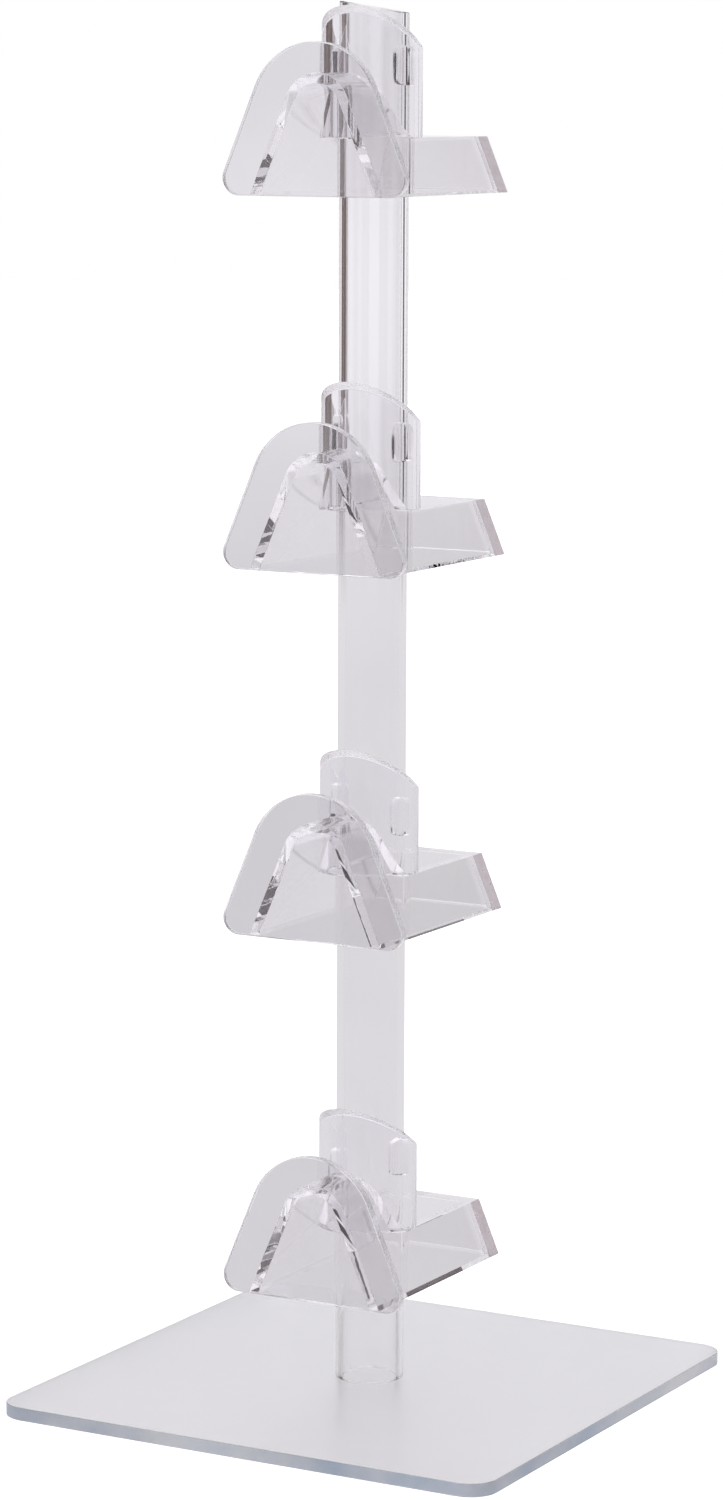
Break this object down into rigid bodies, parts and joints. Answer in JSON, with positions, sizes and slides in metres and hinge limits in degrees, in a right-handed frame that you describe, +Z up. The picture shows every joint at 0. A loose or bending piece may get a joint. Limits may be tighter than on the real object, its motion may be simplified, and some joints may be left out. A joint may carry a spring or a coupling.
{
  "type": "eyeglass display rack",
  "caption": "Clear acrylic countertop rack: a square base, a tube post and a column of nose-shaped holders that carry eyeglasses by their bridges.",
  "frame": {"origin": "centre of the base plate's underside, on the surface that the rack stands on", "axes": "+Z up along the post, -Y the side that the holders' front plates face, +X to the right seen from that side"},
  "size_m": [0.16, 0.16, 0.4069],
  "materials": {
    "base_acrylic": "polished clear cast acrylic plate, cool pale blue at its edges",
    "post_acrylic": "clear extruded acrylic tube, dark where the wall is seen edge on",
    "sheet_acrylic": "clear acrylic sheet with polished edges, faint purple-grey tint",
    "collar_acrylic": "clear acrylic half tube with a polished oblique rim, faint purple-grey tint",
    "cement": "hardened clear acrylic cement with uneven edges and a few bubbles",
    "sawn_acrylic": "clear acrylic plate with mottled, machine-cut side edges"
  },
  "bodies": {
    "root": {"base_plate": "base_acrylic", "post_tube": "post_acrylic", "front_plate_1": "sheet_acrylic", "nose_saddle_1": "sheet_acrylic", "half_collar_1": "collar_acrylic", "cement_pad_right_1": "cement", "cement_pad_left_1": "cement", "rear_plate_1": "sawn_acrylic", "front_plate_2": "sheet_acrylic", "nose_saddle_2": "sheet_acrylic", "half_collar_2": "collar_acrylic", "cement_pad_right_2": "cement", "cement_pad_left_2": "cement", "rear_plate_2": "sawn_acrylic", "front_plate_3": "sheet_acrylic", "nose_saddle_3": "sheet_acrylic", "half_collar_3": "collar_acrylic", "cement_pad_right_3": "cement", "cement_pad_left_3": "cement", "rear_plate_3": "sawn_acrylic", "front_plate_4": "sheet_acrylic", "nose_saddle_4": "sheet_acrylic", "half_collar_4": "collar_acrylic", "cement_pad_right_4": "cement", "cement_pad_left_4": "cement", "rear_plate_4": "sawn_acrylic"}
  },
  "joints": []
}
